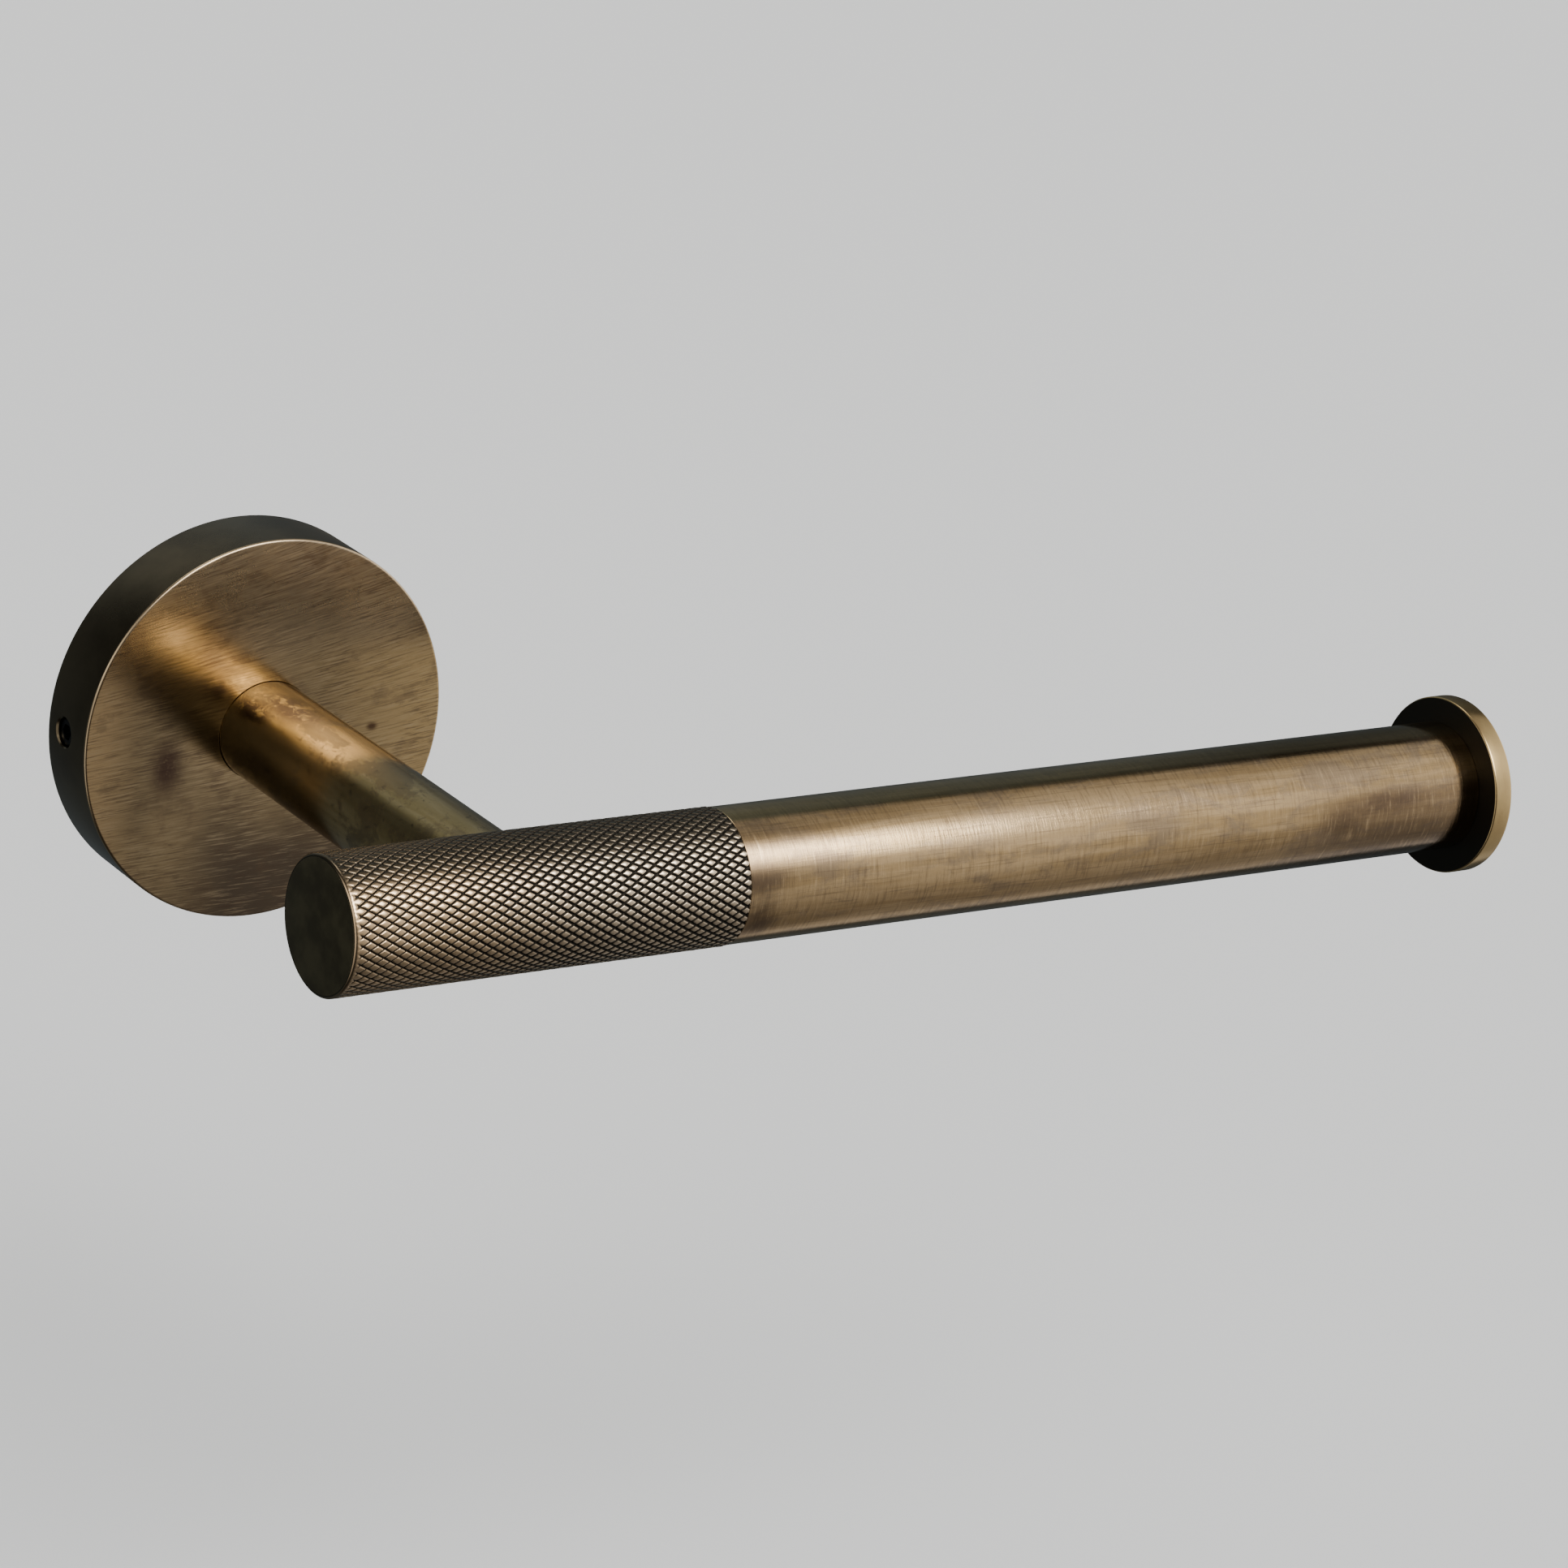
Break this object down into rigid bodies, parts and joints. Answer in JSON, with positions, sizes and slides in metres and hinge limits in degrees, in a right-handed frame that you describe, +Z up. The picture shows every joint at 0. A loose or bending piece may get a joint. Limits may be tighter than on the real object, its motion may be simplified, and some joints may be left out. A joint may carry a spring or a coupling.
{
  "type": "wall-mounted toilet roll holder",
  "caption": "Wall-mounted toilet roll holder in aged brass: round rose, short post, and a horizontal bar with a knurled grip and an end flange.",
  "frame": {"origin": "on the wall plane, at the post's axis: the centre of the wall plate's back face", "axes": "+X along the bar, from the post towards the open end with the flange; +Y into the wall; +Z up"},
  "size_m": [0.183, 0.1022, 0.054],
  "materials": {
    "aged_brass": "brushed, aged brown-gold with darker patina",
    "knurled_brass": "aged, with rubbed bright diamonds and near-black grooves",
    "turned_brass": "as turned, bright",
    "black_steel": "black oxide",
    "zinc_steel": "bright zinc plate",
    "cast_zinc": "tumbled zinc casting, matt grey"
  },
  "bodies": {
    "wall_fixing": {"wall_plate": "cast_zinc", "wall_screw_upper": "zinc_steel", "wall_screw_lower": "zinc_steel"},
    "holder": {"rose": "aged_brass", "post": "aged_brass", "post_screw": "zinc_steel", "post_washer": "zinc_steel", "post_spring_washer": "zinc_steel", "post_stud": "zinc_steel", "bar_core": "turned_brass", "knurled_sleeve": "knurled_brass", "grip_end_cap": "aged_brass", "bar_tube": "aged_brass", "end_plug": "turned_brass", "end_flange": "aged_brass"},
    "grub_screw": {"rose_grub_screw": "black_steel"}
  },
  "joints": [
    {"name": "holder_lift_off", "type": "slide", "parent": "wall_fixing", "child": "holder", "axis": [0, -1, 0], "range_m": [0, 0.014]},
    {"name": "grub_screw_back_out", "type": "slide", "parent": "holder", "child": "grub_screw", "axis": [-1, 0, 0], "range_m": [0, 0.003]}
  ]
}
